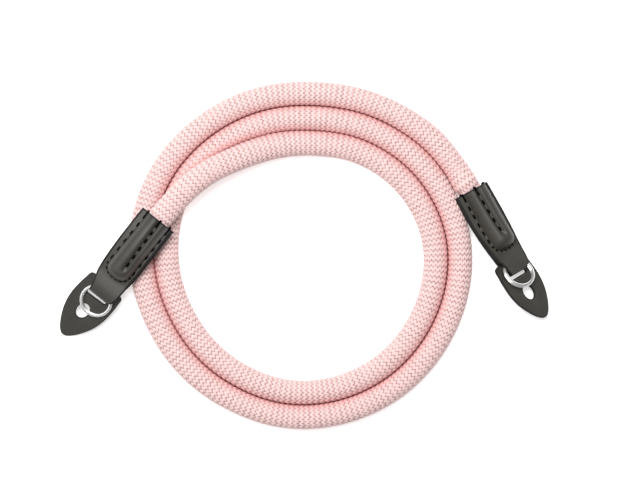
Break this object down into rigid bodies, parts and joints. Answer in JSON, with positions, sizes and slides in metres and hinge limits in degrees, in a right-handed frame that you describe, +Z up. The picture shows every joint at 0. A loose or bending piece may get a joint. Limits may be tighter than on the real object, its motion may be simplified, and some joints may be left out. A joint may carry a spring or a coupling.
{
  "type": "camera neck strap",
  "caption": "Camera neck strap of round braided rope, lying in a loose coil, with stitched leather ends, leather guards and split rings.",
  "frame": {"origin": "on the surface that the strap lies on, under the middle of the box of the two leather ends", "axes": "+Z up from the surface; +X from the left end to the right end, as seen from above with +Y away from the viewer"},
  "size_m": [0.1998, 0.1433, 0.0218],
  "materials": {
    "rope": "light pink braid, matt",
    "leather": "dark warm grey, satin, with painted black edges",
    "steel": "bright nickel plated wire"
  },
  "bodies": {
    "root": {"rope": "rope", "left_tab": "leather", "left_guard": "leather", "left_ring": "steel", "right_tab": "leather", "right_guard": "leather", "right_ring": "steel"}
  },
  "joints": []
}
